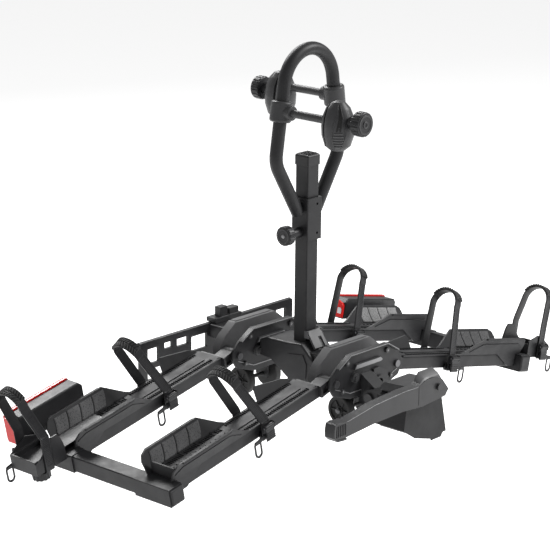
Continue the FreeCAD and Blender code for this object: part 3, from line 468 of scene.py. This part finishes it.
H_L, H_R, H_E = 122.0, 136.0, 152.0
SH, LEAN = 27.0, 36.0
for side, hm in (("l", H_L), ("r", H_R)):
    strap_object("strap_set_" + side, "platform_" + side, side,
                 [(222.0, -TY, hm, -56.0, -1, SH, -16.0, LEAN, -46.0, -58.0), (222.0, TY, hm, -56.0, -1, SH, -16.0, LEAN, -46.0, -58.0)], ["straps_" + side])
    near = 1 if side == "l" else -1
    y0 = TY if side == "l" else -TY
    strap_object("strap_outer_" + side, "extension_" + side, side,
                 [(612.0, y0, H_E + (13.0 if side == "l" else 0.0), -32.0, near, 26.0 if side == "l" else 0.0, 52.0, 14.0, -26.0, -34.0)],
                 ["strap_ext_" + side])

# ------------------------------------------------------------------ tray liners
WALL_TOP = [(30, -24), (30, -20), (44, -18), (268, -18), (284, -10), (338, 25), (505, 25), (519, 19), (527, 6), (527, -24)]
def wall_top(s):
    for (a, ta), (b, tb) in zip(WALL_TOP, WALL_TOP[1:]):
        if b > a and a <= s <= b:
            return ta + (tb - ta) * (s - a) / (b - a)
    return -24.0

def liners(side, y0, key, name):
    b = Build(half(side, y0))
    b.mat(key)
    t_in = -17.0
    pitch = 41.0
    for k in (1, -1):
        def wall(s, t, d):
            # inner face of the flared wall, d mm proud of it towards the trough
            y = 34.0 + (t + 22.0) / 52.0 * 24.0
            nl = math.hypot(24.0, 52.0)
            return (s, k * (y - d * 52.0 / nl), t + d * 24.0 / nl)
        for i in range(4):
            sa = 336.0 + i * pitch
            rows = []
            nt_ = 12
            for j in range(nt_ + 1):
                q = j / nt_
                bow = 13.0 * (1.0 - q) ** 1.7
                s_lo = sa + bow + 2.0
                s_hi = min(sa + pitch + bow - 1.6, 507.0)
                ns = 8
                rows.append([(s_lo + (s_hi - s_lo) * m / ns, q) for m in range(ns + 1)])
            topr, botr = [], []
            for r in rows:
                tt, bb = [], []
                for (s, q) in r:
                    tmax = min(wall_top(s) - 5.2, 19.5)
                    t = t_in + (tmax - t_in) * q
                    tt.append(wall(s, t, 1.3))
                    bb.append(wall(s, t, -0.3))
                topr.append(tt)
                botr.append(bb)
            rings = [tt + bb[::-1] for tt, bb in zip(topr, botr)]
            b.rings(rings)
    # rows of short ribs along the trough floor, and a ledge line on the outside of the walls
    b.mat("tray")
    for i in range(30):
        sr = 300.0 + i * 6.4
        for k in (1, -1):
            ya, yb = sorted((k * 15.0, k * 29.0))
            b.prism([(sr, -18.2), (sr + 0.7, -15.6), (sr + 2.3, -15.6), (sr + 3.0, -18.2)], 1, ya, yb)
    for i in range(36):
        sr = 52.0 + i * 6.4
        for k in (1, -1):
            ya, yb = sorted((k * 24.0, k * 33.0))
            b.prism([(sr, -18.2), (sr + 0.6, -15.4), (sr + 2.4, -15.4), (sr + 3.0, -18.2)], 1, ya, yb)
    for k in (1, -1):
        def out(s, t, d):
            y = 38.5 + (t + 22.0) / 52.0 * 24.0
            return (s, k * (y + d * 0.908), t - d * 0.419)
        for (sa, ta), (sb, tb) in (((300, -13.0), (344, 8.0)), ((344, 8.0), (498, 8.0)), ((498, 8.0), (520, -3.0))):
            n = 6
            rings = []
            for i in range(n + 1):
                q = i / n
                s_, t_ = sa + (sb - sa) * q, ta + (tb - ta) * q
                rings.append([out(s_, t_ - 1.4, -0.3), out(s_, t_ - 1.1, 1.5), out(s_, t_ + 1.1, 1.5), out(s_, t_ + 1.4, -0.3)])
            b.rings(rings)
    return b.obj(name, "platform_" + side, bevel=0.0, angle=50.0, seg=1)

liners("l", -TY, "liner", "tray_liner_lf")
liners("l", TY, "liner", "tray_liner_lr")
liners("r", -TY, "liner", "tray_liner_rf")
# the right rear tray gets the lighter liner copy as painted light
liners("r", TY, "liner_painted_lit", "tray_liner_rr")

# ------------------------------------------------------------------ lamp lenses
for side, (a, bb, h) in (("l", (372.0, 586.0, 52.0)), ("r", (318.0, 542.0, 38.0))):
    b = Build(half(side))
    b.mat("red")
    o = [(a + 2, -15), (a + 2, h - 10), (a + 13, h + 4), (bb - 12, h + 4), (bb - 3, h - 6), (bb - 3, -15)]
    b.prism(o, 1, 276.2, 287.0)
    # lens flutes on the rear face, with a clear reversing window
    n = 22
    for i in range(n):
        s0 = a + 12 + i * (bb - a - 26.0) / n
        b.mat("clear" if 8 <= i <= 11 else "red")
        w_ = (bb - a - 26.0) / n
        b.prism([(s0, 286.8), (s0 + w_ * 0.2, 288.8), (s0 + w_ * 0.5, 289.8), (s0 + w_ * 0.8, 288.8), (s0 + w_, 286.8)], 2, -11, h - 6)
    b.mat("red")
    if side == "l":
        b.prism([(240, -14), (276, -14), (276, h - 4), (262, h - 4), (244, h - 12), (240, h - 18)], 0, bb - 6.5, bb + 4)
    else:
        b.prism([(240, -14), (276, -14), (276, h - 6), (262, h - 6), (244, h - 14), (240, h - 20)], 0, a - 8, a - 0.2)
        b.mat("clear")
        b.prism([(243, -4), (256, -4), (256, 12), (246, 12), (243, 8)], 0, a - 8.9, a - 7.8)
    b.obj("tail_lens_" + side, "platform_" + side, ["lamp_lens_" + side], bevel=0.0012, angle=40.0)

# ------------------------------------------------------------------ painted highlight strips along the rolled rims of the arch plates
for tag, y0 in (("f", -TY), ("r", TY)):
    b = Build(draw).mat("rim")
    yc = y0 - 52.5
    b.prism([(-70, 35.2), (70, 35.2), (112.2, 10.1), (111.2, 8.4), (69.6, 33.4), (-69.6, 33.4), (-111.2, 8.4), (-112.2, 10.1)], 1, yc - 12.6, yc - 11.9)
    b.prism([(-50, -4.8), (-43.2, 4.8), (45.4, 4.8), (52.2, -2.2), (45.6, -4.8)], 1, yc - 9.5, yc - 8.9)
    # painted highlight along the lower swage line, and painted glints on the bolt centres
    b.prism([(-116, -40), (-60, -62), (60, -62), (116, -40), (115, -42.4), (59.6, -64.4), (-59.6, -64.4), (-115, -42.4)], 1, yc - 3.7, yc - 2.9)
    for x, z, r in ((-74, 15, 7), (74, 15, 7), (-90, -52, 6), (90, -52, 6)):
        b.lathe((x, yc - 8.2, z), 1, [(0.0, r * 0.1), (0.0, r * 0.42), (3.0, r * 0.42), (3.0, r * 0.1)], 18)
    b.obj("arch_painted_highlight_" + tag, "chassis")

# ------------------------------------------------------------------ frame clamp detail
def egg_r(q):
    pts = [(0.0, -1.0), (0.42, -0.97), (0.78, -0.78), (0.97, -0.38), (1.0, 0.0), (0.93, 0.36), (0.72, 0.70), (0.40, 0.93), (0.0, 1.0)]
    for (a, ya), (b2, yb) in zip(pts, pts[1:]):
        if ya <= q <= yb:
            return a + (b2 - a) * (q - ya) / (yb - ya)
    return 0.0
LEGX = lambda z: 115.0 - (z - 474.0) * 0.1506
for tag, sgn, k, yh, zh, zc in (("f", -1, -1, -190.0, 590.0, 597.0), ("r", 1, 1, 160.0, 588.0, 610.0)):
    b = Build(draw).mat("plastic")
    xc = sgn * LEGX(zc)
    A0 = 222.0 if tag == "f" else 42.0
    def band(a_lo, a_hi, zz, tk, e0, e1, n=10):
        R0 = 39.0 * egg_r(zz / 60.0)
        ring = []
        for i in range(n + 1):
            a = math.radians(a_lo + (a_hi - a_lo) * i / n)
            ring.append([(xc + (R0 + e) * math.cos(a), yh + (R0 + e) * math.sin(a), zh + zz + d) for e, d in ((e0, -tk), (e1, -tk * 0.55), (e1, tk * 0.55), (e0, tk))])
        b.rings(ring)
    # grip ribs in the lower window of the head, in lighter grey as a painted highlight
    b.mat("grey")
    for i, zz in enumerate((-13, -19.5, -26, -32.5, -39, -45)):
        hw = (15, 19, 20, 20, 18, 15)[i]
        band(A0 - hw, A0 + hw, zz, 2.1, -1.5, 1.9)
    # painted shade: a dark strip standing in for the slot that closes towards the top, and the frame round the window
    b.mat("dark")
    ring = []
    for i in range(17):
        zz = -8 + 60 * i / 16.0
        R0 = 39.0 * egg_r(zz / 60.0)
        hw = math.radians(7.0 * (1 - i / 16.0) + 3.2)
        a0 = math.radians(A0 + 6.0 * math.sin(i / 16.0 * 2.4))
        ring.append([(xc + (R0 + e) * math.cos(a0 + d), yh + (R0 + e) * math.sin(a0 + d), zh + zz) for d, e in ((-hw, -1.5), (-hw * 0.9, 0.45), (hw * 0.9, 0.45), (hw, -1.5))])
    b.rings(ring)
    b.mat("soft_grey")
    for sgn_ in (-1, 1):
        ring = []
        for i in range(25):
            q = i / 24.0
            zz = -52 + 104 * q
            R0 = 39.0 * egg_r(zz / 60.0)
            wid = (25.0 * math.sin(math.pi * min(1.0, q / 0.62) * 0.5 + 0.5) if q < 0.36 else 25.0 * max(0.3, 1.0 - (q - 0.36) / 0.8))
            a0 = math.radians(A0 + sgn_ * wid + 4.0 * q)
            hw = math.radians(2.6)
            ring.append([(xc + (R0 + e) * math.cos(a0 + d), yh + (R0 + e) * math.sin(a0 + d), zh + zz) for d, e in ((-hw, -1.2), (-hw * 0.5, 1.5), (hw * 0.5, 1.5), (hw, -1.2))])
        b.rings(ring)
    b.obj("clamp_ribs_" + tag, "clamp_half_" + tag)

# ------------------------------------------------------------------ knob faces, wheel hubs, painted highlight and shade lines at the lever joint
for tag, sgn, zc, yk, zk, k in (("f", -1, 597.0, -260.0, 603.0, -1), ("r", 1, 610.0, 224.0, 596.0, 1)):
    b = Build(draw).mat("soft_grey")
    xc, yf = sgn * LEGX(zc), yk + k * 12.0
    b.lathe((xc, yf, zk), 1, [(-0.3 * k, 23.5), (1.3 * k, 22.6), (1.3 * k, 19.4), (-0.3 * k, 18.4)], 40)
    b.lathe((xc, yf, zk), 1, [(-0.3 * k, 9.0), (1.6 * k, 8.2), (1.6 * k, 5.6), (-0.3 * k, 4.8)], 28)
    b.obj("knob_face_" + tag, "clamp_knob_" + tag)
b = Build(draw).mat("soft_grey")
b.lathe((-84.0, -14.0, 291.0), 0, [(0.3, 19.0), (-1.2, 18.2), (-1.2, 15.4), (0.3, 14.6)], 36)
# painted highlight: a bright disc on the knob centre
b.mat("rim")
b.lathe((-84.0, -14.0, 291.0), 0, [(0.3, 5.4), (-1.6, 4.8), (-1.6, 0.3)], 24)
b.obj("sleeve_knob_face", "sleeve_knob")
for tag, (y, z) in (("f", (-176.0, -116.0)), ("r", (149.0, -116.0))):
    b = Build(draw).mat("dark_zinc")
    for k in (-1, 1):
        b.lathe((k * 62.0, y, z), 0, [(-3.0 * k, 0.4), (-3.0 * k, 7.0), (0.4 * k, 7.0), (2.0 * k, 5.0), (2.0 * k, 0.4)], 24)
    b.mat("rubber")
    for k in (-1, 1):
        for i in range(6):
            a = math.pi / 3 * i
            ca, sa = math.cos(a), math.sin(a)
            pts = [(y + r * ca - w2 * sa, z + r * sa + w2 * ca) for r, w2 in ((11.2, -2.2), (26.6, -1.5), (26.6, 1.5), (11.2, 2.2))]
            x0, x1 = sorted((k * 53.8, k * 56.6))
            b.prism(pts, 0, x0, x1)
    b.obj("wheel_hub_" + tag, "wheels_" + tag)
# painted shade: a thin dark line down the lever face where the raised facet starts
b = Build(draw).mat("dark")
b.prism([(-63.2, -43.0), (-61.8, -43.0), (-61.8, 2.4), (-63.2, 2.4)], 1, -422.45, -421.9)
# painted highlight: a light strip along the lever's top edge
b.mat("rim")
b.prism([(-318, -16.4), (-278, -10.6), (-222, -1.8), (-118, 4.3), (-66, 3.3), (-66, 2.2), (-118, 3.2), (-222, -2.9), (-278, -11.7), (-318, -17.5)], 1, -422.5, -421.7)
# painted highlight: the light grey facet near the pivot
b.mat("grey")
b.rings([[(x, y, z) for x, z in pts] for y, pts in (
    (-421.8, [(-66, -6), (-66, 3.4), (-38, 8.0), (18, 8.0), (26, -6)]),
    (-415.4, [(-64, -6), (-54, 8), (-36, 17.4), (15.8, 17.4), (25.4, -4)]),
    (-398.0, [(-60, -6), (-49, 12), (-36, 27.2), (15.8, 27.2), (25, -3)]),
    (-395.8, [(-60, -6), (-49, 12), (-36, 27.2), (15.8, 27.2), (25, -3)]))])
b.obj("lever_painted_light_lines", "clamp_lever", bevel=0.0006, angle=40.0)

# ------------------------------------------------------------------ mast cap ribs
b = Build(draw).mat("plastic")
for i in range(7):
    x = -15.0 + i * 5.0
    b.prism([(x - 1.2, 481.6), (x - 0.8, 483.4), (x + 0.8, 483.4), (x + 1.2, 481.6)], 1, -14.0 - 15.0, -14.0 + 15.0)
b.obj("mast_cap_ribs", "chassis")

# ------------------------------------------------------------------ CAD nodes that stay
for n, o in NODES.items():
    if o.hide_render:
        continue
    w = 0.0011
    if NODE_MAT[n] in ("strap",):
        w = 0.0006
    if n in ("hoop", "wheels_f", "wheels_r", "clamp_arm_f", "clamp_arm_r", "clamp_half_f", "clamp_half_r"):
        w = 0.0008
    finish_node(n, NODE_MAT[n], w)

# ------------------------------------------------------------------ stage
def area(name, loc, target, size, power, color=(1, 1, 1)):
    l = bpy.data.lights.new(name, "AREA")
    l.shape = "RECTANGLE"
    l.size, l.size_y = size
    l.energy = power
    l.color = color
    o = bpy.data.objects.new(name, l)
    o.location = loc
    d = Vector(target) - Vector(loc)
    o.rotation_mode = "QUATERNION"
    o.rotation_quaternion = d.to_track_quat("-Z", "Y")
    bpy.context.scene.collection.objects.link(o)
    return o

w = bpy.data.worlds.new("studio")
bpy.context.scene.world = w
w.use_nodes = True
w.node_tree.nodes["Background"].inputs[0].default_value = (1.0, 1.0, 1.0, 1.0)
w.node_tree.nodes["Background"].inputs[1].default_value = 0.40
area("key", (2.6, -1.9, 3.0), (0.0, 0.3, 0.2), (1.5, 1.5), 160.0)
area("rim", (1.2, 3.2, 2.8), (0.0, 0.4, 0.2), (2.4, 1.2), 140.0)

FLOOR_Z = CAD_LO.z - 0.30
me = bpy.data.meshes.new("floor")
R = 30.0
me.from_pydata([(-R, -R, FLOOR_Z), (R, -R, FLOOR_Z), (R, R, FLOOR_Z), (-R, R, FLOOR_Z)], [], [[0, 1, 2, 3]])
fl = bpy.data.objects.new("floor", me)
bpy.context.scene.collection.objects.link(fl)
fm = bpy.data.materials.new("floor_pale")
fm.use_nodes = True
fb = fm.node_tree.nodes["Principled BSDF"]
fb.inputs["Base Color"].default_value = (0.93, 0.93, 0.93, 1.0)
fb.inputs["Roughness"].default_value = 0.9
fb.inputs["Specular IOR Level"].default_value = 0.1
fb.inputs["Emission Color"].default_value = (1.0, 1.0, 1.0, 1.0)
fb.inputs["Emission Strength"].default_value = 0.52
me.materials.append(fm)
fl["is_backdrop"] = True

# ------------------------------------------------------------------ camera
yaw, pit, rol = math.radians(48.0045), math.radians(15.793), math.radians(0.610)
fwd = Vector((math.sin(yaw) * math.cos(pit), math.cos(yaw) * math.cos(pit), -math.sin(pit)))
right = Vector((math.cos(yaw), -math.sin(yaw), 0.0))
up = right.cross(fwd)
r_ = right * math.cos(rol) + up * math.sin(rol)
u_ = -right * math.sin(rol) + up * math.cos(rol)
cam = bpy.data.cameras.new("camera")
cam.sensor_width = 36.0
cam.lens = 144.69
cam.clip_start, cam.clip_end = 0.1, 100.0
co = bpy.data.objects.new("camera", cam)
mw = Matrix(((r_.x, u_.x, -fwd.x, -3.8924), (r_.y, u_.y, -fwd.y, -3.0774), (r_.z, u_.z, -fwd.z, 1.7400), (0, 0, 0, 1)))
co.matrix_world = mw
bpy.context.scene.collection.objects.link(co)
bpy.context.scene.camera = co
bpy.context.scene.view_settings.view_transform = "Standard"
bpy.context.scene.view_settings.look = "None"

a, b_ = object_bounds()
